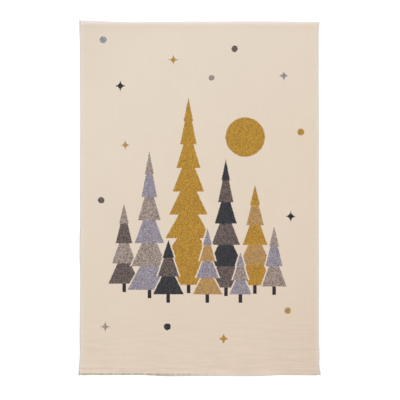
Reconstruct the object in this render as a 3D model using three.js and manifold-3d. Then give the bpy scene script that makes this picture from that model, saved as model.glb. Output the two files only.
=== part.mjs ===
// Kids rug: one short-pile woven cloth with its two ends turned under as hems,
// and a row of overlocking yarn wound round the pile-free selvedge of each long side.
// Millimetres. +X across the rug, +Y along it, +Z up. The origin lies on the floor
// under the middle of the rug's box.

import * as THREE from 'three';
import { mergeVertices } from 'three/addons/utils/BufferGeometryUtils.js';
import Module from 'manifold-3d';

const wasm = await Module();
wasm.setup();

// Driving dimensions
const WIDTH = 1197; // across the overlocked long sides, away from the corners
const LENGTH = 1770; // between the folded ends, before they wander
const BACKING = 2.5; // woven ground under the pile
const PILE = 9; // pile standing on the ground
const HEM_DEPTH = 30; // turned under at each end
const HEM_LAYER = 1.8; // thickness of the turned-under ground
const HEM_RISE = 1.4; // how much the hem lifts the pile
const HEM_SLOPE = 13; // over which the cloth comes down again
const YARN_WIDTH = 9; // overlocked edge, seen from above
const YARN_HEIGHT = 9;
const YARN_WALL = 2.2; // yarn under and over the selvedge
const SELVEDGE_REACH = 5.8; // how far the selvedge runs into the yarn
const GAP = 0.3; // between the cloth and the yarn

// Sizes of the soft edges
const SIDE_ROUND = 4; // shoulder of the pile beside the yarn
const FOLD_ROUND = 9; // shoulder of the pile round a folded end
const UNDER_ROUND = 4.5; // lower edge of the cloth
const SHOULDER_STEPS = 6;
const UNDER_STEPS = 4;
const CORNER_ZONE = 12; // the corners are rounded within this distance
const CORNER_POWER = 2.5;
const YARN_END = 2.5; // the yarn stops this far short of a folded end
const YARN_TIP = 5; // length over which the yarn's end is drawn in
const YARN_DRAWN_IN = 0.22; // share of the yarn's width lost at its end
const YARN_MIDDLE = 4.3; // height of the yarn's outermost line
const YARN_ANGLES = 14;

const PILE_TOP = BACKING + PILE;
const WIDEST = 5; // height of the cloth's outermost line
const HALF_WIDTH = WIDTH / 2;
const HALF_LENGTH = LENGTH / 2;
const CORNER_PULL = CORNER_ZONE / (2 * CORNER_POWER);
const COLUMN_PITCH = 50;
const ROW_PITCH = 40;
const STATIONS = 64;
const WELD = 1e-4; // points closer than this are one point

// How far each edge lies outside its straight line. A long side is read along Y and an end along X.
const LEFT_WANDER = [
  { along: -885, out: 7.3 },
  { along: -868, out: 8.0 },
  { along: -838, out: 5.3 },
  { along: -808, out: 2.9 },
  { along: -770, out: 1.7 },
  { along: -668, out: 2.6 },
  { along: -428, out: -0.1 },
  { along: -350, out: 0.9 },
  { along: -268, out: 3.2 },
  { along: -190, out: 2.2 },
  { along: -110, out: 0.5 },
  { along: 132, out: 0.6 },
  { along: 372, out: -0.4 },
  { along: 600, out: 1.0 },
  { along: 730, out: 1.5 },
  { along: 800, out: 2.3 },
  { along: 840, out: 3.7 },
  { along: 865, out: 4.3 },
  { along: 885, out: 4.4 },
];
const RIGHT_WANDER = [
  { along: -885, out: 6.0 },
  { along: -868, out: 8.1 },
  { along: -838, out: 3.1 },
  { along: -810, out: 3.0 },
  { along: -780, out: 3.9 },
  { along: -740, out: 2.3 },
  { along: -670, out: 1.7 },
  { along: -500, out: 1.5 },
  { along: -268, out: 1.5 },
  { along: 50, out: 0.2 },
  { along: 292, out: 1.5 },
  { along: 532, out: 0.5 },
  { along: 640, out: -0.5 },
  { along: 800, out: -0.8 },
  { along: 830, out: -0.3 },
  { along: 852, out: 1.4 },
  { along: 870, out: 2.4 },
  { along: 885, out: 2.6 },
];
const TOP_WANDER = [
  { along: -600, out: 4.2 },
  { along: -578, out: 5.9 },
  { along: -517, out: 4.0 },
  { along: -494, out: 2.2 },
  { along: -437, out: 0.5 },
  { along: -357, out: -3.0 },
  { along: -277, out: -2.7 },
  { along: -197, out: -0.2 },
  { along: -117, out: -1.2 },
  { along: -37, out: 1.1 },
  { along: 40, out: 0.4 },
  { along: 120, out: 0.8 },
  { along: 265, out: 1.7 },
  { along: 385, out: 1.4 },
  { along: 465, out: 0 },
  { along: 540, out: -0.8 },
  { along: 575, out: -0.9 },
  { along: 600, out: -1.4 },
];
const BOTTOM_WANDER = [
  { along: -600, out: 0.2 },
  { along: -588, out: -2.2 },
  { along: -570, out: -4.4 },
  { along: -545, out: -4.7 },
  { along: -517, out: -4.0 },
  { along: -277, out: -4.0 },
  { along: -215, out: -0.6 },
  { along: -175, out: 1.4 },
  { along: -135, out: 2.0 },
  { along: -55, out: 1.0 },
  { along: 65, out: 0.8 },
  { along: 120, out: 1.2 },
  { along: 185, out: 2.0 },
  { along: 282, out: 1.3 },
  { along: 345, out: -1.1 },
  { along: 385, out: -3.3 },
  { along: 465, out: -3.2 },
  { along: 545, out: -3.0 },
  { along: 600, out: -2.3 },
];

// A smooth curve through a table's rows, as a function of the place along the edge
function wander(rows, along) {
  let i = 0;
  while (i < rows.length - 2 && along > rows[i + 1].along) {
    i += 1;
  }
  const slopeAt = (k) => {
    const before = rows[Math.max(k - 1, 0)];
    const after = rows[Math.min(k + 1, rows.length - 1)];
    return (after.out - before.out) / (after.along - before.along);
  };
  const span = rows[i + 1].along - rows[i].along;
  const t = THREE.MathUtils.clamp((along - rows[i].along) / span, 0, 1);
  const s = t * t * (3 - 2 * t);
  const leaving = span * slopeAt(i) * t * (1 - t) * (1 - t);
  const arriving = span * slopeAt(i + 1) * t * t * (t - 1);
  return rows[i].out * (1 - s) + rows[i + 1].out * s + leaving + arriving;
}

// The four outer lines of the rug. side and end are -1 for left or bottom and 1 for right or top.
function sideX(side, y) {
  return side * (HALF_WIDTH + wander(side < 0 ? LEFT_WANDER : RIGHT_WANDER, y));
}

function endY(end, x) {
  return end * (HALF_LENGTH + wander(end < 0 ? BOTTOM_WANDER : TOP_WANDER, x));
}

// 1 on the hem and 0 past it, where inset is the distance from the folded end
function hemShare(inset) {
  return 1 - THREE.MathUtils.smoothstep(inset, HEM_DEPTH, HEM_DEPTH + HEM_SLOPE);
}

// Lines of the cloth's grid from one edge to the other. A line near an edge keeps its inset from
// it, and rise is the share of the pile's height that it has reached.
function gridLines(length, round, extraInsets, pitch) {
  const near = [];
  for (let k = 0; k <= SHOULDER_STEPS; k += 1) {
    const angle = (k / SHOULDER_STEPS) * (Math.PI / 2);
    near.push({ inset: round * (1 - Math.cos(angle)), rise: Math.sin(angle) });
  }
  for (const inset of extraInsets) {
    near.push({ inset, rise: 1 });
  }
  const last = near[near.length - 1].inset;
  const count = Math.round((length - 2 * last) / pitch);
  const lines = near.map((line) => ({ ...line, from: -1 }));
  for (let k = 1; k < count; k += 1) {
    lines.push({ share: k / count, inset: last, rise: 1, from: 0 });
  }
  for (const line of near.reverse()) {
    lines.push({ ...line, from: 1 });
  }
  return lines;
}

// Where a line lies between a low and a high edge
function placeLine(line, low, high) {
  if (line.from < 0) {
    return low + line.inset;
  }
  if (line.from > 0) {
    return high - line.inset;
  }
  return THREE.MathUtils.lerp(low + line.inset, high - line.inset, line.share);
}

const CLOTH_INSET = YARN_WIDTH + GAP;
const HEM_ROWS = [
  HEM_DEPTH * 0.7,
  HEM_DEPTH,
  HEM_DEPTH + HEM_SLOPE * 0.33,
  HEM_DEPTH + HEM_SLOPE * 0.67,
  HEM_DEPTH + HEM_SLOPE,
  HEM_DEPTH * 2,
  HEM_DEPTH * 3,
];
const COLUMNS = gridLines(WIDTH - 2 * CLOTH_INSET, SIDE_ROUND, [CORNER_ZONE], COLUMN_PITCH);
const ROWS = gridLines(LENGTH, FOLD_ROUND, HEM_ROWS, ROW_PITCH);

// A corner of the grid is drawn in so that the cloth's outline is round there
function cornerPull(insetX, insetY) {
  const p = Math.max(0, 1 - insetX / CORNER_ZONE);
  const q = Math.max(0, 1 - insetY / CORNER_ZONE);
  return CORNER_PULL * (p * q) ** CORNER_POWER;
}

// A point of the pile's surface, where a column and a row of the grid cross
function pilePoint(column, row) {
  const roughY = placeLine(row, -HALF_LENGTH, HALF_LENGTH);
  const roughX = placeLine(column, sideX(-1, roughY) + CLOTH_INSET, sideX(1, roughY) - CLOTH_INSET);
  let y = placeLine(row, endY(-1, roughX), endY(1, roughX));
  let x = placeLine(column, sideX(-1, y) + CLOTH_INSET, sideX(1, y) - CLOTH_INSET);
  if (column.from !== 0 && row.from !== 0) {
    const pull = cornerPull(column.inset, row.inset);
    x -= column.from * pull;
    y -= row.from * pull;
  }
  const endInset = row.from === 0 ? Infinity : row.inset;
  const top = PILE_TOP + HEM_RISE * hemShare(endInset);
  return new THREE.Vector3(x, y, WIDEST + (top - WIDEST) * column.rise * row.rise);
}

// The grid's border, anticlockwise seen from above, as [column, row] places
function gridBorder(columns, rows) {
  const border = [];
  for (let i = 0; i < columns - 1; i += 1) {
    border.push([i, 0]);
  }
  for (let j = 0; j < rows - 1; j += 1) {
    border.push([columns - 1, j]);
  }
  for (let i = columns - 1; i > 0; i -= 1) {
    border.push([i, rows - 1]);
  }
  for (let j = rows - 1; j > 0; j -= 1) {
    border.push([0, j]);
  }
  return border;
}

// Direction from a point of the border towards the inside of the cloth
function inward(column, row) {
  const onSide = column.from !== 0 && column.inset === 0;
  const onEnd = row.from !== 0 && row.inset === 0;
  const leanX = onSide ? 1 : Math.max(0, 1 - column.inset / CORNER_ZONE);
  const leanY = onEnd ? 1 : Math.max(0, 1 - row.inset / CORNER_ZONE);
  return new THREE.Vector2(-column.from * leanX, -row.from * leanY).normalize();
}

function quad(index, a, b, c, d) {
  index.push(a, b, c, a, c, d);
}

// A closed mesh from points and triangles
function solid(points, index) {
  const geometry = new THREE.BufferGeometry();
  geometry.setFromPoints(points);
  geometry.setIndex(index);
  return geometry;
}

// The pile and its ground: the grid on top, a rounded lower edge and a flat underside
function pileBody() {
  const points = [];
  const index = [];
  for (const row of ROWS) {
    for (const column of COLUMNS) {
      points.push(pilePoint(column, row));
    }
  }
  const at = (i, j) => j * COLUMNS.length + i;
  for (let j = 0; j < ROWS.length - 1; j += 1) {
    for (let i = 0; i < COLUMNS.length - 1; i += 1) {
      quad(index, at(i, j), at(i + 1, j), at(i + 1, j + 1), at(i, j + 1));
    }
  }
  const border = gridBorder(COLUMNS.length, ROWS.length);
  let upper = border.map(([i, j]) => at(i, j));
  for (let k = 1; k <= UNDER_STEPS; k += 1) {
    const angle = (k / UNDER_STEPS) * (Math.PI / 2);
    const inset = UNDER_ROUND * (1 - Math.cos(angle));
    const lower = border.map(([i, j]) => {
      const rim = points[at(i, j)];
      const way = inward(COLUMNS[i], ROWS[j]);
      points.push(
        new THREE.Vector3(rim.x + way.x * inset, rim.y + way.y * inset, WIDEST * (1 - Math.sin(angle))),
      );
      return points.length - 1;
    });
    for (let n = 0; n < border.length; n += 1) {
      const next = (n + 1) % border.length;
      quad(index, upper[n], lower[n], lower[next], upper[next]);
    }
    upper = lower;
  }
  const floor = upper.map((n) => new THREE.Vector2(points[n].x, points[n].y));
  for (const [a, b, c] of THREE.ShapeUtils.triangulateShape(floor, [])) {
    index.push(upper[a], upper[c], upper[b]);
  }
  return solid(points, index);
}

// A closed bar: one section of [x, y, z] points at each station, both ends capped.
// The section runs anticlockwise seen from the last station towards the first.
function loft(sections, flat) {
  const size = sections[0].length;
  const points = sections.flat().map((p) => new THREE.Vector3(...p));
  const index = [];
  for (let s = 0; s < sections.length - 1; s += 1) {
    for (let n = 0; n < size; n += 1) {
      const next = (n + 1) % size;
      quad(index, s * size + n, s * size + next, (s + 1) * size + next, (s + 1) * size + n);
    }
  }
  const last = (sections.length - 1) * size;
  for (const [a, b, c] of THREE.ShapeUtils.triangulateShape(flat, [])) {
    index.push(a, c, b, last + a, last + b, last + c);
  }
  return solid(points, index);
}

// Places along a long side, closer together towards its ends, where the outline turns most
function sideStations(side, shortBy) {
  const x = side * HALF_WIDTH;
  const low = endY(-1, x) + shortBy;
  const high = endY(1, x) - shortBy;
  return Array.from({ length: STATIONS + 1 }, (_, k) => {
    const t = Math.sin((k / STATIONS - 0.5) * Math.PI);
    return THREE.MathUtils.lerp(low, high, (t + 1) / 2);
  });
}

// Distance of a station from the nearer end of a list of stations
function fromEnd(stations, y) {
  return Math.min(y - stations[0], stations[stations.length - 1] - y);
}

// A bar along a long side. shape gives the section at a station as [inset, height] pairs.
function sideBar(side, stations, shape) {
  const sections = stations.map((y) => {
    const outer = sideX(side, y);
    return shape(fromEnd(stations, y)).map(([inset, z]) => [outer - side * inset, y, z]);
  });
  const flat = sections[0].map(([x, , z]) => new THREE.Vector2(-x, z));
  return { sections, flat };
}

// The section pairs run anticlockwise for the left side, so the right side is turned round
function sideLoft(side, stations, shape) {
  const oriented = side < 0 ? shape : (distance) => shape(distance).reverse();
  const { sections, flat } = sideBar(side, stations, oriented);
  return loft(sections, flat);
}

// Pile-free edge of the ground, which the yarn is wound round
function selvedge(side) {
  const inner = CLOTH_INSET + SIDE_ROUND;
  const tip = YARN_WIDTH - SELVEDGE_REACH;
  return sideLoft(side, sideStations(side, YARN_END), (distance) => {
    const top = YARN_WALL + GAP + BACKING + HEM_RISE * hemShare(distance);
    return [
      [tip, YARN_WALL + GAP],
      [tip, top],
      [inner, top],
      [inner, YARN_WALL + GAP],
    ];
  });
}

// Overlocking yarn: a round bar, flat under it, with a slot for the selvedge
function overlock(side) {
  const slotLow = YARN_WALL;
  const slotTip = YARN_WIDTH - SELVEDGE_REACH - GAP;
  const halfWidth = YARN_WIDTH / 2;
  const halfHeight = YARN_HEIGHT - YARN_MIDDLE;
  return sideLoft(side, sideStations(side, YARN_END), (distance) => {
    const lift = HEM_RISE * hemShare(distance);
    const drawnIn = 1 - YARN_DRAWN_IN * (1 - THREE.MathUtils.smoothstep(distance, 0, YARN_TIP)) ** 2;
    const slotHigh = YARN_WALL + 2 * GAP + BACKING + lift;
    const lowLip = Math.asin((slotLow - YARN_MIDDLE) / halfHeight);
    const highLip = Math.asin((slotHigh - lift - YARN_MIDDLE) / halfHeight);
    const section = [];
    for (let k = 0; k <= YARN_ANGLES; k += 1) {
      const angle = THREE.MathUtils.lerp(lowLip, highLip - 2 * Math.PI, k / YARN_ANGLES);
      const z = YARN_MIDDLE + halfHeight * Math.sin(angle) * drawnIn;
      const inset = halfWidth + halfWidth * Math.cos(angle) * drawnIn;
      section.push([inset, Math.max(0, z) + (z > slotLow + GAP ? lift : 0)]);
    }
    section[0][1] = slotLow;
    section[YARN_ANGLES][1] = slotHigh;
    section.push([slotTip, slotHigh], [slotTip, slotLow]);
    return section;
  });
}

// The wedge of air under the cloth where it comes down from the turned-under hem
function hemWedge(end) {
  const steps = Math.round(WIDTH / COLUMN_PITCH);
  const run = HEM_SLOPE / HEM_LAYER;
  const sections = Array.from({ length: steps + 1 }, (_, k) => {
    const x = THREE.MathUtils.lerp(-HALF_WIDTH, HALF_WIDTH, k / steps);
    const fold = endY(end, x);
    return [
      [x, fold - end * HEM_DEPTH, -1],
      [x, fold - end * HEM_DEPTH, HEM_LAYER],
      [x, fold - end * (HEM_DEPTH + HEM_SLOPE + run), -1],
    ];
  });
  const oriented = end < 0 ? sections.map((section) => section.reverse()) : sections;
  const flat = oriented[0].map(([, y, z]) => new THREE.Vector2(y, z));
  return loft(oriented, flat);
}

// A closed mesh as a solid that can be joined and cut
function toSolid(geometry) {
  const merged = mergeVertices(geometry, WELD);
  const mesh = new wasm.Mesh({
    numProp: 3,
    vertProperties: merged.attributes.position.array,
    triVerts: new Uint32Array(merged.index.array),
  });
  return new wasm.Manifold(mesh);
}

function fromSolid(body) {
  const { vertProperties, triVerts } = body.getMesh();
  const geometry = new THREE.BufferGeometry();
  geometry.setAttribute('position', new THREE.BufferAttribute(vertProperties, 3));
  geometry.setIndex(new THREE.BufferAttribute(triVerts, 1));
  return geometry;
}

function pileCloth() {
  const joined = [-1, 1].reduce((body, side) => body.add(toSolid(selvedge(side))), toSolid(pileBody()));
  return fromSolid([-1, 1].reduce((body, end) => body.subtract(toSolid(hemWedge(end))), joined));
}

function addPiece(group, name, geometry, material) {
  geometry.computeVertexNormals();
  const mesh = new THREE.Mesh(geometry, material);
  mesh.name = name;
  group.add(mesh);
}

const creamPile = new THREE.MeshStandardMaterial({ color: 0xe1d3c0, roughness: 0.95, metalness: 0 });
const paleYarn = new THREE.MeshStandardMaterial({ color: 0xe4dacd, roughness: 0.8, metalness: 0 });

const rug = new THREE.Group();
addPiece(rug, 'pile_cloth', pileCloth(), creamPile);
addPiece(rug, 'overlock_left', overlock(-1), paleYarn);
addPiece(rug, 'overlock_right', overlock(1), paleYarn);

// The middle of the box goes to the origin
const middle = new THREE.Box3().setFromObject(rug).getCenter(new THREE.Vector3());
rug.position.set(-middle.x, -middle.y, 0);

export default rug;
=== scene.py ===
"""A kids rug lying flat: a short-pile woven cloth with a woodland design and turned-under ends,
and yarn wound round its long sides. Metres, in the frame of the CAD model: +X across the rug,
+Y along it, +Z up, the origin on the floor under its middle."""

import math
from collections import namedtuple
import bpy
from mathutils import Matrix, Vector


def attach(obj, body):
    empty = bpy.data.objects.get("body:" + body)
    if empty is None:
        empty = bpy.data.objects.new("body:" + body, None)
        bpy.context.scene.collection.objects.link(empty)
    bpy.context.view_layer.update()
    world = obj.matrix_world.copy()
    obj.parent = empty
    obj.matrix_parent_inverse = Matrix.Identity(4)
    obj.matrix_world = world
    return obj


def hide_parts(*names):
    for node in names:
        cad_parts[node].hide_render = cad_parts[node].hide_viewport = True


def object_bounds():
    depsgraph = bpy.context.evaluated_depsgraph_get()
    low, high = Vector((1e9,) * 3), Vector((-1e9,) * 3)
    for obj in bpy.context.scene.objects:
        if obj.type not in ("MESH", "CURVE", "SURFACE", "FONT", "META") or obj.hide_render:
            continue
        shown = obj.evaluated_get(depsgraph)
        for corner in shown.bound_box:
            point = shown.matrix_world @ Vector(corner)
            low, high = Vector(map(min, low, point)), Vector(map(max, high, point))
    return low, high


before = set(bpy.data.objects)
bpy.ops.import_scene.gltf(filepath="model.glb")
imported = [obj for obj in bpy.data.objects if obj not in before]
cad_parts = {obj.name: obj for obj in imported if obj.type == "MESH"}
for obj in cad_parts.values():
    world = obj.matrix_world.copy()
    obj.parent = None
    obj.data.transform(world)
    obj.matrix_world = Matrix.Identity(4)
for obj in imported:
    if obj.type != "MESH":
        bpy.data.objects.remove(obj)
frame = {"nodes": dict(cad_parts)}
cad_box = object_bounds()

from types import SimpleNamespace

import bpy
import numpy as np
from mathutils import Vector, noise

MM = 0.001

# Sizes shared with the solids
YARN_WIDTH = 9 * MM
CLOTH_INSET = 9.3 * MM  # from the rug's outer line to the side of the pile
WIDEST = 5 * MM  # height of the cloth's outermost line
FIELD_TOP = 11.5 * MM
HEM_DEPTH = 30 * MM
HEM_SLOPE = 13 * MM
HEM_RISE = 1.4 * MM
HEM_LAYER = 1.8 * MM
SIDE_ROUND = 4 * MM
FOLD_ROUND = 9 * MM
UNDER_INSET = 4.5 * MM
CORNER_ZONE = 12 * MM
CORNER_POWER = 2.5
SELVEDGE_LOW = 2.5 * MM
SELVEDGE_HIGH = 5 * MM
SELVEDGE_REACH = 6.1 * MM
YARN_END = 2.5 * MM

# The weave: one tuft of pile to each reed dent and shot
TUFT_X = 3.0 * MM
TUFT_Y = 2.8 * MM

random = np.random.default_rng(1201)


# Reading the solids

ON_RIM = 0.05 * MM  # how near a point of the cloth's rim is to the height of its outermost line


def points_of(obj):
    """The vertices of a mesh object as an array."""
    flat = np.empty(len(obj.data.vertices) * 3)
    obj.data.vertices.foreach_get("co", flat)
    return flat.reshape(-1, 3)


def outermost(along, out, digits):
    """The furthest out of the points at each place along an edge, sorted along it. Places are
    told apart to so many digits."""
    places, group = np.unique(np.round(along, digits), return_inverse=True)
    furthest = np.full(len(places), -np.inf)
    np.maximum.at(furthest, group, out)
    return places, furthest


def smooth_curve(at, places, values):
    """A curve without kinks through values at places, read at other places."""
    slopes = np.gradient(values, places)
    i = np.clip(np.searchsorted(places, at) - 1, 0, len(places) - 2)
    span = places[i + 1] - places[i]
    t = np.clip((at - places[i]) / span, 0, 1)
    s = t * t * (3 - 2 * t)
    leaving = span * slopes[i] * t * (1 - t) ** 2
    arriving = span * slopes[i + 1] * t * t * (t - 1)
    return values[i] * (1 - s) + values[i + 1] * s + leaving + arriving


class Outline:
    """The rug's four outer lines. A side or end is -1 for left or near and 1 for right or far."""

    def __init__(self, nodes):
        cloth = points_of(nodes["pile_cloth"])
        inner = np.abs(cloth[:, 0]) < np.abs(cloth[:, 0]).max() - CORNER_ZONE - SELVEDGE_REACH
        rim = cloth[(np.abs(cloth[:, 2] - WIDEST) < ON_RIM) & inner]
        self.sides = {}
        self.ends = {}
        for sign, name in ((-1, "left"), (1, "right")):
            yarn = points_of(nodes["overlock_" + name])
            along = yarn[:, 1]
            drawn_in = CORNER_ZONE / 2
            whole = yarn[(along > along.min() + drawn_in) & (along < along.max() - drawn_in)]
            self.sides[sign] = outermost(whole[:, 1], sign * whole[:, 0], digits=4)
            end = rim[sign * rim[:, 1] > 0]
            self.ends[sign] = outermost(end[:, 0], sign * end[:, 1], digits=3)

    def side_x(self, side, y):
        return side * smooth_curve(y, *self.sides[side])

    def end_y(self, end, x):
        return end * smooth_curve(x, *self.ends[end])


outline = Outline(frame["nodes"])


# Mesh helpers

def smooth_step(x, low, high):
    t = np.clip((x - low) / (high - low), 0, 1)
    return t * t * (3 - 2 * t)


def ripple(x, y, length_x, length_y, seed):
    """Smooth noise from about -1 to 1 with the given wavelengths."""
    flat_x, flat_y = np.broadcast_arrays(x / length_x, y / length_y)
    values = [noise.noise(Vector((a, b, seed))) for a, b in zip(flat_x.ravel(), flat_y.ravel())]
    return np.array(values).reshape(flat_x.shape)


def make_mesh(name, points, faces, materials, slots=None):
    mesh = bpy.data.meshes.new(name)
    mesh.from_pydata(np.asarray(points).tolist(), [], faces)
    for material in materials:
        mesh.materials.append(material)
    if slots is not None:
        mesh.polygons.foreach_set("material_index", slots)
    mesh.polygons.foreach_set("use_smooth", [True] * len(mesh.polygons))
    mesh.update()
    obj = bpy.data.objects.new(name, mesh)
    bpy.context.scene.collection.objects.link(obj)
    return obj


def quads(*corners):
    """Faces from four arrays of vertex numbers, one for each corner."""
    return np.stack([corner.ravel() for corner in corners], axis=-1).tolist()


def ring_faces(first, second):
    """Quads between two closed rings of vertex numbers."""
    count = len(first)
    return [
        [first[k], second[k], second[(k + 1) % count], first[(k + 1) % count]]
        for k in range(count)
    ]


# The cloth

def grid_lines(length, rounding, steps, extra, pitch):
    """Lines from one edge of the cloth to the other. Each lies at its inset from an edge, or at
    its share of the way between the innermost insets, and angle is how far round the shoulder
    it is, a quarter turn on the level pile."""
    angle = np.linspace(0, math.pi / 2, steps + 1)
    near = np.concatenate([rounding * (1 - np.cos(angle)), extra])
    ones = np.ones(len(near))
    level = math.pi / 2
    turn = np.concatenate([angle, np.full(len(extra), level)])
    count = round((length - 2 * near[-1]) / pitch)
    between = count - 1
    return SimpleNamespace(
        edge=np.concatenate([-ones, np.zeros(between), ones]),
        inset=np.concatenate([near, np.full(between, near[-1]), near[::-1]]),
        share=np.concatenate([0 * ones, np.arange(1, count) / count, ones]),
        angle=np.concatenate([turn, np.full(between, level), turn[::-1]]),
    )


def placed(lines, low, high):
    return low + lines.inset + (high - low - 2 * lines.inset) * lines.share


def column(lines):
    """The same lines, to be spread down the rows of an array."""
    return SimpleNamespace(**{key: value[:, None] for key, value in vars(lines).items()})


def hem_share(inset):
    """1 on the hem and 0 past it."""
    return 1 - smooth_step(inset, HEM_DEPTH, HEM_DEPTH + HEM_SLOPE)


def furrow(inset):
    """The shallow dip in the pile where a turned-under hem ends."""
    return FURROW_DEPTH * np.maximum(0, 1 - np.abs(inset - FURROW_INSET) / FURROW_REACH)


def pile_low(y):
    return outline.side_x(-1, y) + CLOTH_INSET


def pile_high(y):
    return outline.side_x(1, y) - CLOTH_INSET


PILE_WIDTH = 1.178  # this and the length only set how many lines there are
PILE_LENGTH = 1.770
PILE_PITCH = 5.4 * MM
SHOULDER_STEPS = 8
FOLD_STEPS = 10
SIDE_LINES = [9 * MM, CORNER_ZONE]
HEM_LINES = np.array([15, 20, 24, 27, 29.8, 30.2, 32, 34, 36.5, 39.5, 43]) * MM
FURROW_INSET = 33 * MM
FURROW_REACH = 5 * MM
FURROW_DEPTH = 0.4 * MM
ACROSS = grid_lines(PILE_WIDTH, SIDE_ROUND, SHOULDER_STEPS, SIDE_LINES, PILE_PITCH)
ALONG = grid_lines(PILE_LENGTH, FOLD_ROUND, FOLD_STEPS, HEM_LINES, PILE_PITCH)

# Waves in how high the pile stands: broad ones, streaks of the weft and warp, and lumps
Wave = namedtuple("Wave", "height length_x length_y seed")
PILE_WAVES = [
    Wave(0.30 * MM, 0.21, 0.26, 3.1),
    Wave(0.10 * MM, 0.30, 0.011, 7.7),
    Wave(0.06 * MM, 0.012, 0.45, 11.3),
    Wave(0.22 * MM, 0.016, 0.014, 5.9),
]
TUFT_UNEVEN = 0.10 * MM
MOST_UNEVEN = 0.25 * MM
LEAST_UPWARD = 0.05  # keeps the way out of the pile from vanishing at its rim


def pile_surface():
    """The pile's upper surface as an array of points, its rows along the rug and its columns
    across it."""
    rows = column(ALONG)
    half = cad_box[1].y
    y = placed(rows, -half, half) + 0 * ACROSS.inset
    x = placed(ACROSS, pile_low(y), pile_high(y))
    y = placed(rows, outline.end_y(-1, x), outline.end_y(1, x))
    x = placed(ACROSS, pile_low(y), pile_high(y))
    in_corner = (ACROSS.edge != 0) & (rows.edge != 0)
    near_x = np.maximum(0, 1 - ACROSS.inset / CORNER_ZONE)
    near_y = np.maximum(0, 1 - rows.inset / CORNER_ZONE)
    pull = in_corner * CORNER_ZONE / (2 * CORNER_POWER) * (near_x * near_y) ** CORNER_POWER
    x = x - ACROSS.edge * pull
    y = y - rows.edge * pull
    end_inset = np.where(rows.edge == 0, 1, rows.inset)
    top = FIELD_TOP + HEM_RISE * hem_share(end_inset) - furrow(end_inset)
    z = WIDEST + (top - WIDEST) * np.sin(ACROSS.angle) * np.sin(rows.angle)
    points = np.stack([x, y, z], axis=-1)
    outward = np.stack(
        np.broadcast_arrays(
            ACROSS.edge * np.cos(ACROSS.angle) + 0 * rows.inset,
            rows.edge * np.cos(rows.angle) + 0 * ACROSS.inset,
            np.sin(ACROSS.angle) * np.sin(rows.angle) + LEAST_UPWARD,
        ),
        axis=-1,
    )
    outward /= np.linalg.norm(outward, axis=-1, keepdims=True)
    return points + outward * unevenness(x, y)[..., None]


def unevenness(x, y):
    """How far the pile stands out: its waves, and tufts that differ."""
    waves = sum(
        wave.height * ripple(x, y, wave.length_x, wave.length_y, wave.seed) for wave in PILE_WAVES
    )
    tufts = TUFT_UNEVEN * random.standard_normal(x.shape)
    return waves + np.clip(tufts, -MOST_UNEVEN, MOST_UNEVEN)


def grid_border(columns, rows):
    """The border of a grid, anticlockwise from above, as (column, row) places."""
    return (
        [(i, 0) for i in range(columns - 1)]
        + [(columns - 1, j) for j in range(rows - 1)]
        + [(i, rows - 1) for i in range(columns - 1, 0, -1)]
        + [(0, j) for j in range(rows - 1, 0, -1)]
    )


def inward(i, j):
    """The direction from a point of the border into the cloth."""
    lean_x = max(0, 1 - ACROSS.inset[i] / CORNER_ZONE)
    lean_y = max(0, 1 - ALONG.inset[j] / CORNER_ZONE)
    way = np.array([-ACROSS.edge[i] * lean_x, -ALONG.edge[j] * lean_y])
    return way / np.linalg.norm(way)


def has_selvedge(i, j):
    """Whether a point of the border is where the selvedge runs into the yarn."""
    on_side = i in (0, len(ACROSS.inset) - 1)
    return on_side and (ALONG.edge[j] == 0 or ALONG.inset[j] >= YARN_END)


# Rings down the side of the cloth: how far out the selvedge reaches and how high it is there, and
# how far in the folded end goes and how high it is
LowerRing = namedtuple("LowerRing", "selvedge_out selvedge_z fold_in fold_z")
LOWER_RINGS = [
    LowerRing(SELVEDGE_REACH, SELVEDGE_HIGH, 0.3 * MM, 3.6 * MM),
    LowerRing(SELVEDGE_REACH, SELVEDGE_LOW, 1.0 * MM, 2.2 * MM),
    LowerRing(-0.9 * MM, 2.3 * MM, 2.3 * MM, 0.9 * MM),
    LowerRing(-UNDER_INSET, 0, UNDER_INSET, 0),
]
UNDER_EDGE_COLUMN = 8 * MM  # from the border to the first inner column of the underside
UNDER_COLUMNS = 24
UNDER_DRAWN = 7 * MM  # how far in from a fold the underside's first row of inner points lies


def lower_ring(border, rim, ring, top_ring):
    """One ring of points round the side of the cloth. The top one rises with the hems."""
    points = []
    for (i, j), point in zip(border, rim):
        if has_selvedge(i, j):
            lift = HEM_RISE * hem_share(ALONG.inset[j]) if ALONG.edge[j] and top_ring else 0
            out = ACROSS.edge[i] * ring.selvedge_out
            drawn = ring.fold_in * max(0, 1 - ALONG.inset[j] / CORNER_ZONE)
            y = point[1] - ALONG.edge[j] * drawn
            points.append([point[0] + out, y, ring.selvedge_z + lift])
        else:
            way = inward(i, j) * ring.fold_in
            points.append([point[0] + way[0], point[1] + way[1], ring.fold_z])
    return points


def underside_points(left, right):
    """The inner points of the underside, row by row, between the border's points at the left
    and those at the right."""
    share = np.linspace(0, 1, UNDER_COLUMNS)
    rows = []
    for j in range(1, len(ALONG.inset) - 1):
        low, high = left[j][0] + UNDER_EDGE_COLUMN, right[j][0] - UNDER_EDGE_COLUMN
        x = low + (high - low) * share
        inset = ALONG.inset[j]
        drawn = inset + UNDER_DRAWN * max(0, 1 - inset / HEM_LINES[0])
        span = outline.end_y(1, x) - outline.end_y(-1, x)
        y = outline.end_y(-1, x) + drawn + (span - 2 * drawn) * ALONG.share[j]
        past_hem = inset - HEM_DEPTH
        on_slope = ALONG.edge[j] != 0 and 0 < past_hem < HEM_SLOPE
        z = HEM_LAYER * (1 - past_hem / HEM_SLOPE) if on_slope else 0
        rows.append(np.stack([x, y, np.full(UNDER_COLUMNS, z)], axis=-1))
    return np.concatenate(rows)


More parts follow.
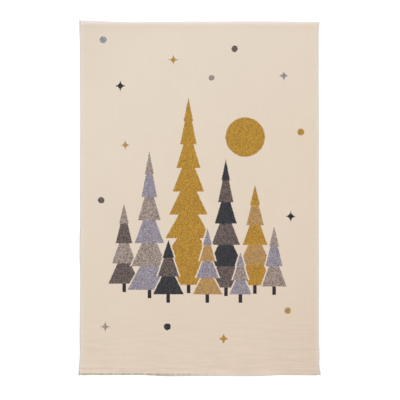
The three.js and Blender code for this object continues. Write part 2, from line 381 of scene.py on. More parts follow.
def end_fans(rim, inner):
    """Faces between the many points of a folded end's rim and the few of the row beside it."""
    faces = []
    cuts = np.round(np.linspace(0, len(rim) - 1, len(inner))).astype(int)
    for k in range(len(inner) - 1):
        stretch = [int(rim[n]) for n in range(cuts[k], cuts[k + 1] + 1)]
        faces.append(stretch + [int(inner[k + 1]), int(inner[k])])
    return faces


def build_cloth(pile, backing):
    """The whole cloth as one closed mesh: pile on top, the selvedges and folds round its side,
    and the woven back with its two hems underneath."""
    surface = pile_surface()
    rows, columns = surface.shape[:2]
    numbers = np.arange(rows * columns).reshape(rows, columns)
    points = surface.reshape(-1, 3).tolist()
    faces = quads(numbers[:-1, :-1], numbers[:-1, 1:], numbers[1:, 1:], numbers[1:, :-1])

    border = grid_border(columns, rows)
    rim = [surface[j, i] for i, j in border]
    upper = [int(numbers[j, i]) for i, j in border]
    for k, ring in enumerate(LOWER_RINGS):
        lower = list(range(len(points), len(points) + len(border)))
        points += lower_ring(border, rim, ring, k == 0)
        faces += ring_faces(upper, lower)
        upper = lower
    on_top = len(faces)

    place = dict(zip(border, upper))
    left = [points[place[0, j]] for j in range(rows)]
    right = [points[place[columns - 1, j]] for j in range(rows)]
    first = len(points)
    points += underside_points(left, right).tolist()
    inner = np.arange(first, len(points)).reshape(rows - 2, UNDER_COLUMNS)
    left_rim = np.array([place[0, j] for j in range(1, rows - 1)])
    right_rim = np.array([place[columns - 1, j] for j in range(1, rows - 1)])
    under = np.concatenate([left_rim[:, None], inner, right_rim[:, None]], axis=1)
    faces += quads(under[:-1, :-1], under[1:, :-1], under[1:, 1:], under[:-1, 1:])
    near_rim = [place[i, 0] for i in range(columns)]
    far_rim = [place[i, rows - 1] for i in range(columns)]
    faces += [face[::-1] for face in end_fans(near_rim, under[0])]
    faces += end_fans(far_rim, under[-1])
    slots = [0] * on_top + [1] * (len(faces) - on_top)
    return make_mesh("woven_rug", points, faces, [pile, backing], slots)


# The overlocking yarn

WIND_PITCH = 2.6 * MM
WIND_STEPS = 16
YARN_SIDES = 6
YARN_THICK = 1.1 * MM  # half the yarn's thickness, out from the edge
YARN_BROAD = 1.75 * MM  # half its breadth, along the edge
WIND_MIDDLE = 4.5 * MM
YARN_SLACK = 0.16 * MM  # how unevenly the turns lie, out from the edge and along it
YARN_DRIFT = 0.22 * MM
YARN_LOWEST = 0.9 * YARN_THICK
YARN_PAST = 1 * MM  # how far the winding runs past the folds
CLOSING_TURNS = 1.5  # turns that wind inwards at each end
CLOSING_SIZE = 0.1  # how small the winding gets there


def wound_yarn(name, side, material):
    """One yarn wound round a long side's selvedge from the near end to the far end."""
    x_end = side * cad_box[1].x
    low = outline.end_y(-1, x_end) + YARN_BROAD - YARN_PAST
    high = outline.end_y(1, x_end) - YARN_BROAD + YARN_PAST
    turns = int((high - low) / WIND_PITCH)
    closing = int(CLOSING_TURNS * WIND_STEPS)
    t = np.arange(-closing, turns * WIND_STEPS + closing + 1) / WIND_STEPS
    past = np.maximum(0, np.maximum(-t, t - turns)) / CLOSING_TURNS
    size = 1 - (1 - CLOSING_SIZE) * past
    whole = np.arange(turns + 2)
    slack = np.interp(t, whole, random.normal(0, YARN_SLACK, turns + 2))
    drift = np.interp(t, whole, random.normal(0, YARN_DRIFT, turns + 2))
    theta = 2 * math.pi * t
    y = low + (high - low) * np.clip(t / turns, 0, 1) + drift
    end_inset = np.minimum(y - low, high - y)
    lift = HEM_RISE * hem_share(end_inset)
    reach = (YARN_WIDTH / 2 - YARN_THICK + slack) * size
    rise = (WIND_MIDDLE - YARN_THICK + slack) * size
    height = WIND_MIDDLE + rise * np.sin(theta)
    height = np.where(height > WIND_MIDDLE, height + lift, height)
    inset = YARN_WIDTH / 2 - reach * np.cos(theta) * side
    x = outline.side_x(side, y) - side * inset
    centre = np.stack([x, y, np.maximum(height, YARN_LOWEST)], axis=-1)

    tangent = np.gradient(centre, axis=0)
    tangent /= np.linalg.norm(tangent, axis=1, keepdims=True)
    across = side * (YARN_WIDTH / 2 - inset)
    out = np.stack([across, np.zeros(len(t)), height - WIND_MIDDLE], axis=-1)
    out -= tangent * (out * tangent).sum(1, keepdims=True)
    out /= np.linalg.norm(out, axis=1, keepdims=True)
    broad = np.cross(tangent, out)
    around = np.arange(YARN_SIDES) * 2 * math.pi / YARN_SIDES
    ring = (
        centre[:, None]
        + out[:, None] * (YARN_THICK * np.cos(around))[None, :, None]
        + broad[:, None] * (YARN_BROAD * np.sin(around))[None, :, None]
    )
    ring[..., 2] = np.maximum(ring[..., 2], 0)
    points = ring.reshape(-1, 3)
    numbers = np.arange(len(points)).reshape(len(t), YARN_SIDES)
    turned = np.roll(numbers, -1, axis=1)
    faces = quads(numbers[:-1], turned[:-1], turned[1:], numbers[1:])
    faces.append(numbers[0][::-1].tolist())
    faces.append(numbers[-1].tolist())
    return make_mesh(name, points, faces, [material])


# Tufts at the rim of the pile

TUFT_SIDES = 5
TuftRing = namedtuple("TuftRing", "along radius")
TUFT_RINGS = [
    TuftRing(-1.8 * MM, 1.2 * MM),
    TuftRing(0.3 * MM, 1.5 * MM),
    TuftRing(1.0 * MM, 1.25 * MM),
]
TUFT_TIP = 1.3 * MM
TUFT_SINK = 0.9 * MM
SIDE_LEAN = 0.8 * MM  # how far the tufts beside the yarn lean out over it
TUFT_ROUGH = 0.12 * MM
TUFT_PROUD = 0.25 * MM  # how unevenly the tufts stand out
TUFT_STRAY = 0.22  # how far their directions and their sizes differ
TUFT_SPREAD = 0.14
STREW_ALONG = 0.4  # how far out of line they are, as a share of their pitch
STREW_ROUND = (0.1, 0.9)  # where in its row a tuft lies, as a share of the row's breadth


def tuft_meshes(name, roots, ways, material):
    """Short tufts of cut pile as one mesh: roots are their places and ways the way each leans."""
    count = len(roots)
    ways = ways + random.normal(0, TUFT_STRAY, ways.shape)
    ways /= np.linalg.norm(ways, axis=1, keepdims=True)
    helper = np.where(np.abs(ways[:, 2:]) < 0.9, [[0.0, 0.0, 1.0]], [[1.0, 0.0, 0.0]])
    across = np.cross(ways, helper)
    across /= np.linalg.norm(across, axis=1, keepdims=True)
    upward = np.cross(ways, across)
    size = 1 + random.normal(0, TUFT_SPREAD, count)
    roots = roots + ways * random.normal(0, TUFT_PROUD, (count, 1))
    turn = random.uniform(0, 2 * math.pi, count)
    around = np.arange(TUFT_SIDES) * 2 * math.pi / TUFT_SIDES
    angle = (turn[:, None] + around[None])[..., None]
    circle = np.cos(angle) * across[:, None] + np.sin(angle) * upward[:, None]
    parts = [
        (roots + ways * ring.along)[:, None] + circle * (ring.radius * size)[:, None, None]
        for ring in TUFT_RINGS
    ]
    parts.append((roots + ways * TUFT_TIP * size[:, None])[:, None])
    points = np.concatenate(parts, axis=1)
    points += random.normal(0, TUFT_ROUGH, points.shape)
    points[..., 2] = np.maximum(points[..., 2], 0)
    per_tuft = points.shape[1]
    faces = [list(range(TUFT_SIDES))]
    for k in range(len(TUFT_RINGS) - 1):
        a = k * TUFT_SIDES
        for n in range(TUFT_SIDES):
            m = (n + 1) % TUFT_SIDES
            faces.append([a + m, a + n, a + TUFT_SIDES + n, a + TUFT_SIDES + m])
    last = (len(TUFT_RINGS) - 1) * TUFT_SIDES
    for n in range(TUFT_SIDES):
        faces.append([last + (n + 1) % TUFT_SIDES, last + n, per_tuft - 1])
    every = [[v + k * per_tuft for v in face] for k in range(count) for face in faces]
    return make_mesh(name, points.reshape(-1, 3), every, [material])


def strewn(reach, pitch, rows, low, high):
    """Places along an edge and angles round it, in degrees, for rows of tufts out of line."""
    along, angles = [], []
    step = (high - low) / rows
    for k in range(rows):
        place = np.arange(-reach + (k % 2) * pitch / 2, reach, pitch)
        along.append(place + random.uniform(-STREW_ALONG, STREW_ALONG, len(place)) * pitch)
        angles.append(low + (k + random.uniform(*STREW_ROUND, len(place))) * step)
    return np.concatenate(along), np.radians(np.concatenate(angles))


def fold_tufts(name, end, material):
    """Tufts that fan out round a folded end."""
    reach = cad_box[1].x - CLOTH_INSET - CORNER_ZONE
    x, angle = strewn(reach, TUFT_X, rows=5, low=-28, high=80)
    above = angle > 0
    radius = np.where(above, FIELD_TOP + HEM_RISE - WIDEST, WIDEST)
    inset = np.where(above, FOLD_ROUND, UNDER_INSET) * (1 - np.cos(angle))
    y = outline.end_y(end, x) - end * (inset + TUFT_SINK * np.cos(angle))
    z = WIDEST + (radius - TUFT_SINK) * np.sin(angle)
    roots = np.stack([x, y, z], axis=-1)
    ways = np.stack([0 * x, end * np.cos(angle), np.sin(angle)], axis=-1)
    return tuft_meshes(name, roots, ways, material)


def side_tufts(name, side, material):
    """Tufts that lean out over the overlocking yarn."""
    y, angle = strewn(cad_box[1].y - CORNER_ZONE, TUFT_Y, rows=4, low=30, high=88)
    inset = CLOTH_INSET + SIDE_ROUND * (1 - np.cos(angle)) - SIDE_LEAN * np.cos(angle)
    x = outline.side_x(side, y) - side * inset
    z = WIDEST + (FIELD_TOP - WIDEST - TUFT_SINK) * np.sin(angle)
    roots = np.stack([x, y, z], axis=-1)
    ways = np.stack([side * np.cos(angle), 0 * y, np.sin(angle)], axis=-1)
    return tuft_meshes(name, roots, ways, material)


# Colours

def linear(red, green, blue):
    """A colour given from 0 to 255, as the shader's linear colour."""
    values = np.array([red, green, blue]) / 255
    low, high = values / 12.92, ((values + 0.055) / 1.055) ** 2.4
    return (*np.where(values <= 0.04045, low, high), 1.0)


# Each yarn is spun from two shades, which show as speckles, tuft by tuft
YARNS = {
    "cream": {"main": (236, 220.4, 204), "fleck": (231, 214.4, 197)},
    "mustard": {"main": (206, 160, 58), "fleck": (156, 112, 44)},
    "ochre": {"main": (211, 165, 84), "fleck": (150, 120, 96)},
    "taupe": {"main": (190, 174, 166), "fleck": (118, 101, 95)},
    "lilac": {"main": (177, 170, 183), "fleck": (122, 114, 126)},
    "charcoal": {"main": (66, 54, 57), "fleck": (122, 108, 103)},
    "slate": {"main": (28, 33, 38), "fleck": (64, 63, 68)},
    "ink": {"main": (34, 24, 34), "fleck": (54, 44, 50)},
}
YARN_NUMBER = {name: k for k, name in enumerate(YARNS)}

# The design, in metres from the rug's middle. Firs stand on base and taper to their top; half is
# half their width, and their tiers take the two yarns in turn.
Fir = namedtuple("Fir", "x base height half tiers yarns")
FIRS = [
    Fir(-0.376, -0.425, 0.400, 0.078, 4, ("charcoal", "taupe")),
    Fir(-0.250, -0.455, 0.690, 0.108, 6, ("lilac", "taupe")),
    Fir(-0.055, -0.430, 0.930, 0.150, 8, ("mustard", "mustard")),
    Fir(0.131, -0.445, 0.640, 0.104, 6, ("charcoal", "slate")),
    Fir(0.277, -0.433, 0.500, 0.100, 5, ("mustard", "ochre")),
    Fir(0.372, -0.440, 0.300, 0.062, 3, ("taupe", "lilac")),
    Fir(-0.155, -0.478, 0.270, 0.076, 3, ("slate", "charcoal")),
    Fir(0.040, -0.480, 0.330, 0.074, 4, ("ochre", "lilac")),
    Fir(0.204, -0.480, 0.210, 0.056, 3, ("lilac", "taupe")),
]
TRUNK_HALF = 9 * MM
TRUNK_LENGTH = 42 * MM
TREE_MARGIN = 7 * MM  # cream left round a tree where it stands before another
TIER_TAPER = 0.58
SPARE_TIER = 0.3  # a fir narrows as if it had this much of one more tier

# A spot's size is its radius, or a star's reach
Spot = namedtuple("Spot", "x y size yarn")
SUN = Spot(0.228, 0.305, 0.098, "mustard")
STARS = [
    Spot(-0.395, 0.560, 0.034, "ink"),
    Spot(-0.130, 0.690, 0.030, "mustard"),
    Spot(0.420, 0.610, 0.030, "lilac"),
    Spot(-0.370, 0.265, 0.030, "ochre"),
    Spot(0.455, -0.090, 0.034, "ink"),
    Spot(-0.470, -0.640, 0.030, "taupe"),
    Spot(0.120, -0.700, 0.034, "mustard"),
]
DOTS = [
    Spot(0.175, 0.745, 0.016, "charcoal"),
    Spot(-0.480, 0.790, 0.017, "lilac"),
    Spot(-0.490, -0.010, 0.016, "charcoal"),
    Spot(0.505, 0.330, 0.017, "mustard"),
    Spot(-0.160, -0.640, 0.017, "slate"),
    Spot(0.440, -0.560, 0.016, "ochre"),
    Spot(0.060, 0.600, 0.014, "taupe"),
]

# Where painted light and shade lie on the pile: each zone's start, and the length over which it
# grows to the full, negative towards the near end
HEM_SHADE_ZONE = (0.82, 30 * MM)
FAR_HIGHLIGHT_ZONE = (0.857, 22 * MM)
FAR_SIDE_SHADE_ZONE = (0.862, 10 * MM)
NEAR_HIGHLIGHT_ZONE = (-0.862, -10 * MM)
NEAR_SHADE_ZONE = (-0.8705, -4 * MM)
SIDE_HIGHLIGHT_ZONE = (0.570, 20 * MM)
NEAR_SIDE = -0.860
SEAM_Y = -0.850
SEAM_HALF = 2.6 * MM
CORNER_START = 0.95  # how far from the diagonal a corner's shade starts

# How strong the painted light and shade are there, and their colours
WARM_SHADE_TINT = (0.99, 0.936, 0.905, 1.0)
HEM_SHADED = 0.45
PAINTED_HIGHLIGHT = linear(238, 229, 228)
NEAR_HIGHLIGHTED = 0.30
SIDE_HIGHLIGHTED = 0.28
SHADE_GROUND_COLOUR = linear(122, 113, 100)  # painted shade along the near fold, in the dark colour of the ground between the tufts
DASHES_SHADED = 0.82
SIDE_SHADED = 0.60
SHADE_TO_LEFT = {"steepness": -2.2, "at_zero": 0.45}
SHADE_TO_RIGHT = {"steepness": 1.2, "at_zero": -0.12}
FURROW_SHADE_TO_LEFT = {"steepness": -2.2, "at_zero": 0.30}
SHADE_DASH_SCALE = 46.0  # waves of noise to a metre in the dashes of the near fold's painted shade, and in the seam's
SEAM_SCALE = 30.0
DASH_FROM = 0.25  # the noise at which a dash starts, and how much more makes it whole
DASH_RISE = 1 / 2.2

# How the tufts and fibres stray from their rows
STRAY_SCALE = 1 / (1.7 * TUFT_X)
STRAY_DETAIL = 3.5
STRAY_ROUGHNESS = 0.75


class Sheet:
    """Short calls for one material's nodes. A value is a number or another node's output."""

    def __init__(self, name):
        self.material = bpy.data.materials.new(name)
        self.material.use_nodes = True
        self.nodes = self.material.node_tree.nodes
        self.links = self.material.node_tree.links
        self.shader = self.nodes["Principled BSDF"]

    def put(self, socket, value):
        if isinstance(value, bpy.types.NodeSocket):
            self.links.new(value, socket)
        else:
            socket.default_value = value

    def node(self, kind, **settings):
        node = self.nodes.new("ShaderNode" + kind)
        for key, value in settings.items():
            setattr(node, key, value)
        return node

    def maths(self, operation, *values, clamp=False):
        node = self.node("Math", operation=operation, use_clamp=clamp)
        for socket, value in zip(node.inputs, values):
            self.put(socket, value)
        return node.outputs[0]

    def add(self, a, b):
        return self.maths("ADD", a, b)

    def minus(self, a, b):
        return self.maths("SUBTRACT", a, b)

    def times(self, a, b):
        return self.maths("MULTIPLY", a, b)

    def plus_times(self, a, b, c):
        return self.maths("MULTIPLY_ADD", a, b, c)

    def size_of(self, a):
        return self.maths("ABSOLUTE", a)

    def larger(self, a, b):
        return self.maths("MAXIMUM", a, b)

    def below(self, a, b):
        return self.maths("LESS_THAN", a, b)

    def ramp(self, value, start, length):
        """0 at start, and rising to 1 over a length, which is negative the other way."""
        return self.maths("MULTIPLY", self.minus(value, start), 1 / length, clamp=True)

    def slope(self, value, steepness, at_zero):
        """A straight line that is at_zero where the value is 0, held between 0 and 1."""
        return self.maths("MULTIPLY_ADD", value, steepness, at_zero, clamp=True)

    def about_zero(self, value):
        """A number from 0 to 1 moved to lie about 0."""
        return self.minus(value, 0.5)

    def total(self, start, *parts):
        """A start plus each value times its weight."""
        for value, weight in parts:
            start = self.plus_times(value, weight, start)
        return start

    def both(self, *masks):
        """The product of two masks or more."""
        result = masks[0]
        for mask in masks[1:]:
            result = self.times(result, mask)
        return result

    def within(self, value, middle, reach):
        """1 where a value is no further than reach from middle."""
        return self.below(self.size_of(self.minus(value, middle)), reach)

    def vector(self, x, y, z=0.0):
        node = self.node("CombineXYZ")
        for socket, value in zip(node.inputs, (x, y, z)):
            self.put(socket, value)
        return node.outputs[0]

    def place(self):
        """The place on the rug, in metres: a vector and its x, y and z."""
        vector = self.node("TexCoord").outputs["Object"]
        parts = self.node("SeparateXYZ")
        self.links.new(vector, parts.inputs[0])
        return vector, *parts.outputs

    def facing_aside(self):
        """0 where the surface faces up, and 1 where it faces sideways."""
        parts = self.node("SeparateXYZ")
        self.links.new(self.node("NewGeometry").outputs["Normal"], parts.inputs[0])
        return self.minus(1.0, self.size_of(parts.outputs[2]))

    def noise_node(self, vector, scale, detail, roughness):
        node = self.node("TexNoise")
        self.put(node.inputs["Vector"], vector)
        self.put(node.inputs["Scale"], scale)
        self.put(node.inputs["Detail"], detail)
        self.put(node.inputs["Roughness"], roughness)
        return node

    def noise(self, vector, scale, detail=2.0, roughness=0.5):
        """Smooth noise from 0 to 1 about one half."""
        return self.noise_node(vector, scale, detail, roughness).outputs["Fac"]

    def streaks(self, x, y, scale_x, scale_y):
        """Smooth noise with a scale of its own across the rug and along it."""
        return self.noise(self.vector(self.times(x, scale_x), self.times(y, scale_y)), 1.0)

    def white(self, vector):
        """One random number from 0 to 1 for each value of the vector."""
        node = self.node("TexWhiteNoise", noise_dimensions="3D")
        self.put(node.inputs["Vector"], vector)
        return node.outputs["Value"]

    def mix(self, share, a, b, blend="MIX"):
        """Colour a, with a share of colour b mixed in. The numbers are the colour sockets'."""
        node = self.node("Mix", data_type="RGBA", blend_type=blend)
        for k, value in ((0, share), (6, a), (7, b)):
            self.put(node.inputs[k], value)
        return node.outputs[2]

    def tinted(self, colour, share, tint):
        """A colour multiplied by a share of a tint."""
        return self.mix(share, colour, tint, blend="MULTIPLY")

    def shade(self, colour, factor):
        """A colour made lighter or darker by a factor."""
        node = self.node("VectorMath", operation="SCALE")
        self.put(node.inputs[0], colour)
        self.put(node.inputs["Scale"], factor)
        return node.outputs[0]

    def steps(self, number, colours):
        """The colour with the given number, from a list."""
        node = self.node("ValToRGB")
        ramp = node.color_ramp
        ramp.interpolation = "CONSTANT"
        ramp.elements[0].color = colours[0]
        ramp.elements.remove(ramp.elements[1])
        for k, colour in enumerate(colours[1:], 1):
            ramp.elements.new((k - 0.5) / len(colours)).color = colour
        self.put(node.inputs[0], self.maths("DIVIDE", number, len(colours)))
        return node.outputs[0]

    def bump(self, height, distance, strength):
        node = self.node("Bump")
        node.inputs["Distance"].default_value = distance
        node.inputs["Strength"].default_value = strength
        self.put(node.inputs["Height"], height)
        self.put(self.shader.inputs["Normal"], node.outputs[0])

    def finish(self, **sockets):
        """Sets the shader's own sockets and gives the material."""
        for name, value in sockets.items():
            self.put(self.shader.inputs[name.replace("_", " ")], value)
        return self.material


def laid_over(sheet, design, mask, yarn):
    """The design's yarn number with another yarn laid over it where the mask is 1."""
    kept = sheet.times(design, sheet.minus(1.0, mask))
    return sheet.plus_times(mask, yarn, kept)


def draw_fir(sheet, design, x, y, fir):
    """A fir of tiers, each wide at its foot and drawn in above, on a short trunk. The topmost
    tier ends in a point."""
    off = sheet.size_of(sheet.minus(x, fir.x))
    tiers_per_metre = fir.tiers / fir.height
    up = sheet.times(sheet.minus(y, fir.base), tiers_per_metre)
    tier = sheet.maths("FLOOR", up)
    inside = sheet.minus(up, tier)
    foot = sheet.plus_times(tier, -fir.half / (fir.tiers + SPARE_TIER), fir.half)
    on_top = sheet.maths("GREATER_THAN", tier, fir.tiers - 1.5)
    taper = sheet.plus_times(on_top, 1 - TIER_TAPER, TIER_TAPER)
    reach = sheet.times(foot, sheet.minus(1.0, sheet.times(inside, taper)))
    half_way = fir.tiers / 2
    tall = sheet.within(up, half_way, half_way)
    tall_margin = sheet.within(up, half_way, half_way + TREE_MARGIN * tiers_per_metre)
    wide = sheet.below(off, reach)
    wide_margin = sheet.below(off, sheet.add(reach, TREE_MARGIN))
    trunk = sheet.both(
        sheet.below(off, TRUNK_HALF),
        sheet.within(y, fir.base - TRUNK_LENGTH / 2, TRUNK_LENGTH / 2),
    )
    first, second = (YARN_NUMBER[name] for name in fir.yarns)
    odd = sheet.maths("MODULO", tier, 2.0)
    yarn = sheet.plus_times(odd, float(second - first), float(first))
    design = laid_over(sheet, design, sheet.both(tall_margin, wide_margin), 0.0)
    design = laid_over(sheet, design, trunk, float(YARN_NUMBER["ink"]))
    return laid_over(sheet, design, sheet.both(tall, wide), yarn)


def draw_star(sheet, design, x, y, star):
    """A star of four points."""
    spread = [
        sheet.maths("SQRT", sheet.size_of(sheet.minus(value, middle)))
        for value, middle in ((x, star.x), (y, star.y))
    ]
    mask = sheet.below(sheet.add(*spread), math.sqrt(star.size))
    return laid_over(sheet, design, mask, float(YARN_NUMBER[star.yarn]))


def draw_dot(sheet, design, x, y, dot):
    """A round spot."""
    off_x, off_y = sheet.minus(x, dot.x), sheet.minus(y, dot.y)
    square = sheet.add(sheet.times(off_x, off_x), sheet.times(off_y, off_y))
    mask = sheet.below(square, dot.size ** 2)
    return laid_over(sheet, design, mask, float(YARN_NUMBER[dot.yarn]))


def draw_design(sheet, x, y):
    """The number of the yarn at a place on the rug."""
    design = 0.0
    for dot in DOTS:
        design = draw_dot(sheet, design, x, y, dot)
    for star in STARS:
        design = draw_star(sheet, design, x, y, star)
    design = draw_dot(sheet, design, x, y, SUN)
    for fir in FIRS:
        design = draw_fir(sheet, design, x, y, fir)
    return design


def tuft_cells(sheet, x, y, leaning):
    """The middle of the tuft at a place, and how far from that middle the place is, in tufts,
    both as an x and a y. leaning is how far the tufts and their fibres stray from their rows."""
    stray = sheet.noise_node(sheet.vector(x, y), STRAY_SCALE, STRAY_DETAIL, STRAY_ROUGHNESS)
    shift = sheet.node("SeparateColor")
    sheet.put(shift.inputs[0], stray.outputs["Color"])
    middles, offs = [], []
    for value, pitch, part in ((x, TUFT_X, 0), (y, TUFT_Y, 1)):
        moved = sheet.plus_times(sheet.about_zero(shift.outputs[part]), 2 * leaning, value)
        cell = sheet.maths("DIVIDE", moved, pitch)
        whole = sheet.maths("FLOOR", cell)
        middles.append(sheet.times(sheet.add(whole, 0.5), pitch))
        offs.append(sheet.about_zero(sheet.minus(cell, whole)))
    return middles, offs


def yarn_colour(sheet, design, speckle):
    """The colour of a yarn number, its two shades mixed by the speckle."""
    main = sheet.steps(design, [linear(*yarn["main"]) for yarn in YARNS.values()])
    fleck = sheet.steps(design, [linear(*yarn["fleck"]) for yarn in YARNS.values()])
    return sheet.mix(speckle, main, fleck)


def dashes_along(sheet, x, scale):
    """Dashes along the near end, from 0 to 1."""
    dashes = sheet.noise(sheet.vector(sheet.times(x, scale), 0.0), 1.0)
    return sheet.ramp(dashes, DASH_FROM, DASH_RISE)


def towards_corners(sheet, x):
    """How strong the near fold's painted shade is: most at the left, half at the right, least in
    between.
    """
    return sheet.larger(sheet.slope(x, **SHADE_TO_LEFT), sheet.slope(x, **SHADE_TO_RIGHT))


def near_fold_painted_shade(sheet, x, y, aside):
    """Painted shade along the near fold, where its shoulder and side lie in shadow, in the dark
    colour
    of the ground between the tufts: in dashes on its shoulder, and partly all along its side."""
    past = sheet.ramp(y, *NEAR_SHADE_ZONE)
    dashes = sheet.both(past, dashes_along(sheet, x, SHADE_DASH_SCALE), towards_corners(sheet, x))
    side = sheet.times(sheet.slope(aside, 4.0, -0.6), sheet.below(y, NEAR_SIDE))
    return sheet.larger(sheet.times(dashes, DASHES_SHADED), sheet.times(side, SIDE_SHADED))


def warm_painted_shade(sheet, x, y):
    """How much warm painted shade lies on the pile, darker and yellower where the light falls
    dimmer:
    from 0 at the far left to 1 at the near right, and nearly half as much again on the far hem."""
    over_field = sheet.slope(x, 0.35, sheet.plus_times(y, -0.45, 0.40))
    return sheet.plus_times(sheet.ramp(y, *HEM_SHADE_ZONE), HEM_SHADED, over_field)


def fold_and_side_painted_light(sheet, x, y, aside):
    """How far a place is out on the folds, and how strong the painted highlight is there: most on
    the far fold's shoulder, less where the near fold has its painted shade, and a little along the
    sides."""
    far = sheet.ramp(y, *FAR_HIGHLIGHT_ZONE)
    shoulder = sheet.slope(aside, -1.3, 1.0)
    unshaded = sheet.minus(1.0, towards_corners(sheet, x))
    near = sheet.times(sheet.ramp(y, *NEAR_HIGHLIGHT_ZONE), unshaded)
    side = sheet.ramp(sheet.size_of(x), *SIDE_HIGHLIGHT_ZONE)
    at_ends = sheet.larger(sheet.both(far, far, shoulder), sheet.times(near, NEAR_HIGHLIGHTED))
    return sheet.add(far, near), sheet.larger(at_ends, sheet.times(side, SIDE_HIGHLIGHTED))


def corner_shade(sheet, x, y):
    """How near a place is to the far left or the near right corner, where painted shade darkens
    the pile.
    """
    off_diagonal = sheet.size_of(sheet.minus(y, x))
    return sheet.larger(sheet.minus(off_diagonal, CORNER_START), 0.0)


def hem_furrow_painted_shade(sheet, x, y):
    """A thin line of painted shade in the furrow over the end of the near hem, in dashes, plainest
    at the left.
    """
    seam = sheet.within(y, SEAM_Y, SEAM_HALF)
    return sheet.both(seam, dashes_along(sheet, x, SEAM_SCALE), sheet.slope(x, **FURROW_SHADE_TO_LEFT))


def pile_material(name, lightness):
    """Dense cut pile: tufts in rows, each with its own shade, in the yarns of the design."""
    sheet = Sheet(name)
    vector, x, y, _ = sheet.place()
    middles, offs = tuft_cells(sheet, x, y, leaning=2.6 * MM)
    design = draw_design(sheet, *middles)
    own = sheet.white(sheet.vector(*middles))
    fibre = sheet.noise(vector, 1 / (0.9 * MM), 3.0, 0.6)
    mixed = sheet.plus_times(fibre, 0.5, sheet.times(own, 0.8))
    colour = yarn_colour(sheet, design, speckle=sheet.ramp(mixed, 0.46, 1 / 3))
    aside = sheet.facing_aside()
    # Painted shade: a dark line of shadow along the near fold
    colour = sheet.mix(near_fold_painted_shade(sheet, x, y, aside), colour, SHADE_GROUND_COLOUR)
    # Painted shade: the pile darker and warmer towards the near right and on the far hem
    colour = sheet.tinted(colour, warm_painted_shade(sheet, x, y), WARM_SHADE_TINT)
    # Painted light: the folds and sides made paler and bluer where light catches their rims
    folds, highlight = fold_and_side_painted_light(sheet, x, y, aside)
    colour = sheet.mix(highlight, colour, PAINTED_HIGHLIGHT)

    squares = [sheet.times(off, off) for off in offs]
    dome = sheet.slope(sheet.add(*squares), -1.6, 1.0)
    weft = sheet.streaks(x, y, scale_x=7.0, scale_y=75.0)
    weft_strength = sheet.larger(sheet.plus_times(y, -0.75, -0.3725), 0.02)
    warp = sheet.streaks(x, y, scale_x=80.0, scale_y=3.0)
    broad = sheet.noise(vector, 3.4)
    # Painted light on faces turned sideways, turning to painted shade on the far fold's outermost
    # side
    aside_painted_light = sheet.plus_times(sheet.ramp(y, *FAR_SIDE_SHADE_ZONE), -0.50, 0.20)
    tone = sheet.total(
        lightness,
        (own, 0.07),
        (sheet.about_zero(fibre), 0.24),
        # painted shade in the gaps between the tufts
        (dome, 0.10),
        (sheet.about_zero(weft), weft_strength),
        (sheet.about_zero(warp), 0.03),
        (sheet.about_zero(broad), 0.04),
        # painted shade in the furrow where the near hem ends
        (hem_furrow_painted_shade(sheet, x, y), -0.13),
        (aside, aside_painted_light),
        (corner_shade(sheet, x, y), -0.10),
        # painted light: the folds made lighter
        (folds, 0.06),
    )
    height = sheet.total(sheet.times(fibre, 0.9), (dome, 0.6), (own, 0.35))
    sheet.bump(height, distance=0.9 * MM, strength=0.8)
    return sheet.finish(
        Base_Color=sheet.shade(colour, tone),
        Roughness=0.95,
        Specular_IOR_Level=0.15,
        Sheen_Weight=0.7,
        Sheen_Roughness=0.5,
        Sheen_Tint=(1.0, 0.98, 0.96, 1.0),
    )


def backing_material():
    """The rug's woven back: ribs of weft over a stiff ground, with the pile's yarns showing
    between them, so that the design can be made out in paler colours."""
    sheet = Sheet("woven_back")
    vector, x, y, _ = sheet.place()
    middles, offs = tuft_cells(sheet, x, y, leaning=0.2 * MM)
    design = draw_design(sheet, *middles)
    own = sheet.white(sheet.vector(*middles))
    fibre = sheet.noise(vector, 1 / (0.7 * MM), 3.0, 0.6)
    colour = yarn_colour(sheet, design, speckle=sheet.maths("GREATER_THAN", own, 0.7))
    dent, rib = (sheet.size_of(off) for off in offs)
    weft = sheet.below(rib, 0.24)
    ground = sheet.mix(fibre, linear(196, 178, 150), linear(222, 208, 186))
    colour = sheet.mix(sheet.plus_times(weft, 0.55, 0.25), colour, ground)
    tone = sheet.total(
        0.86,
        (own, 0.08),
        (sheet.about_zero(fibre), 0.2),
        # painted shade in the hollows between the ribs and dents
        (sheet.times(rib, dent), -0.5),
    )
    height = sheet.total(sheet.times(fibre, 0.2), (rib, -1.2), (dent, -0.8))
    sheet.bump(height, distance=0.6 * MM, strength=0.9)
    return sheet.finish(
        Base_Color=sheet.shade(colour, tone),
        Roughness=0.9,
        Specular_IOR_Level=0.2,
    )


def overlock_material():
    """Pale soft yarn with fine fibres across its turns, with painted shade: greyer towards the
    near end and darker where it faces sideways, and painted light towards the right."""
    sheet = Sheet("overlock_yarn")
    _, x, y, z = sheet.place()
    across_turns = sheet.vector(sheet.times(x, 0.35), y, sheet.times(z, 0.35))
    fibre = sheet.noise(across_turns, 1 / (0.45 * MM), 3.0, 0.6)
    turn = sheet.noise(sheet.vector(0.0, y), 1 / (4 * MM), 1.0)
    colour = sheet.mix(fibre, linear(233, 225, 216), linear(243, 237, 230))
    # Painted shade: the yarn greyer towards the near end
    near_end_grey_shade = sheet.ramp(y, -0.79, -50 * MM)
    colour = sheet.mix(sheet.times(near_end_grey_shade, 0.8), colour, linear(228, 226, 221))
    # Painted shade on faces turned sideways, and painted light towards the right
    tone = sheet.total(
        1.01,
        (sheet.about_zero(turn), 0.10),
        (sheet.facing_aside(), -0.34),
        (x, 0.06),
    )
    sheet.bump(fibre, distance=0.35 * MM, strength=0.8)
    return sheet.finish(
        Base_Color=sheet.shade(colour, tone),
        Roughness=0.85,
        Specular_IOR_Level=0.25,
        Sheen_Weight=0.2,
        Sheen_Roughness=0.5,
    )


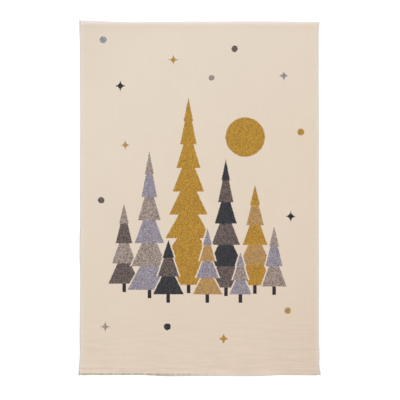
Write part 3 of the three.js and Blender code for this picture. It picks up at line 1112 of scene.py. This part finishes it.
def floor_material():
    """A white light table."""
    sheet = Sheet("studio_floor")
    vector, *_ = sheet.place()
    mottle = sheet.noise(vector, 6.0)
    colour = sheet.mix(mottle, linear(250, 250, 250), linear(253, 253, 253))
    return sheet.finish(
        Base_Color=colour,
        Roughness=0.9,
        Specular_IOR_Level=0.1,
        Emission_Color=(1.0, 1.0, 1.0, 1.0),
        Emission_Strength=FLOOR_GLOW,
    )


# The scene

TENT_WALL = 1.25
TENT_ROOF = 0.46
TENT_ROOF_FROM = 0.75  # how steep the way up is where the roof starts
FLOOR_GLOW = 0.35
FLOOR_RADIUS = 40.0
FLOOR_SIDES = 128
FLOOR_DROP = 0.4 * MM  # keeps the floor clear of the rug's back

# The camera looks straight down, as high as the photograph's frame of two metres needs
PHOTO_PIXELS = 400
PIXEL = 4.997 * MM
LENS = 50
SENSOR = 36
EDGE_HEIGHT = 4 * MM
CAMERA_PLACE = (2.64 * MM, -8.65 * MM)


def build_rug():
    pile = pile_material("cut_pile", lightness=0.84)
    # A lighter copy of the pile for the rim tufts: painted light on the rims
    lit_rim_pile = pile_material("lit_rim_pile", lightness=0.95)
    backing, yarn = backing_material(), overlock_material()
    cloth = build_cloth(pile, backing)
    left = wound_yarn("overlock_yarn_left", -1, yarn)
    right = wound_yarn("overlock_yarn_right", 1, yarn)
    tufts = [
        fold_tufts("fold_tufts_near", -1, lit_rim_pile),
        fold_tufts("fold_tufts_far", 1, lit_rim_pile),
        side_tufts("side_tufts_left", -1, lit_rim_pile),
        side_tufts("side_tufts_right", 1, lit_rim_pile),
    ]
    for piece in (cloth, left, right, *tufts):
        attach(piece, "root")
    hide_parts("pile_cloth")
    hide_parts("overlock_left")
    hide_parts("overlock_right")


def build_floor():
    angles = np.arange(FLOOR_SIDES) * 2 * math.pi / FLOOR_SIDES
    edge = [(FLOOR_RADIUS * math.cos(a), FLOOR_RADIUS * math.sin(a), -FLOOR_DROP) for a in angles]
    floor = make_mesh("floor", edge, [list(range(FLOOR_SIDES))], [floor_material()])


def add_lamp(name, place, size, power, colour):
    """A soft square lamp that faces the middle of the rug."""
    lamp = bpy.data.lights.new(name, "AREA")
    lamp.shape = "SQUARE"
    lamp.size = size
    lamp.energy = power
    lamp.color = colour
    obj = bpy.data.objects.new(name, lamp)
    obj.location = place
    obj.rotation_euler = (-Vector(place)).to_track_quat("-Z", "Y").to_euler()
    bpy.context.scene.collection.objects.link(obj)


def build_light():
    """A light tent, whose walls are brighter than its roof, and a soft lamp past the far end."""
    world = bpy.data.worlds.new("studio")
    world.use_nodes = True
    tree = world.node_tree
    way = tree.nodes.new("ShaderNodeTexCoord")
    height = tree.nodes.new("ShaderNodeSeparateXYZ")
    wall = tree.nodes.new("ShaderNodeMapRange")
    wall.interpolation_type = "SMOOTHSTEP"
    wall.inputs["From Min"].default_value = 0.0
    wall.inputs["From Max"].default_value = TENT_ROOF_FROM
    wall.inputs["To Min"].default_value = TENT_WALL
    wall.inputs["To Max"].default_value = TENT_ROOF
    background = tree.nodes["Background"]
    background.inputs["Color"].default_value = (1.0, 0.985, 0.955, 1.0)
    tree.links.new(way.outputs["Generated"], height.inputs[0])
    tree.links.new(height.outputs["Z"], wall.inputs["Value"])
    tree.links.new(wall.outputs[0], background.inputs["Strength"])
    bpy.context.scene.world = world
    add_lamp("key", (-0.9, 2.6, 6.6), size=4.0, power=260, colour=(0.90, 0.972, 1.0))
    add_lamp("fill", (0.5, -2.6, 3.2), size=1.6, power=9, colour=(1.0, 0.90, 0.78))


def build_camera():
    camera = bpy.data.cameras.new("camera")
    camera.lens = LENS
    camera.sensor_width = SENSOR
    camera.clip_start = 0.05
    camera.clip_end = 50
    height = EDGE_HEIGHT + PHOTO_PIXELS * PIXEL * LENS / SENSOR
    obj = bpy.data.objects.new("camera", camera)
    obj.location = (*CAMERA_PLACE, height)
    bpy.context.scene.collection.objects.link(obj)
    bpy.context.scene.camera = obj


bpy.context.scene.view_settings.view_transform = "Standard"
build_camera()
build_light()
build_floor()
build_rug()
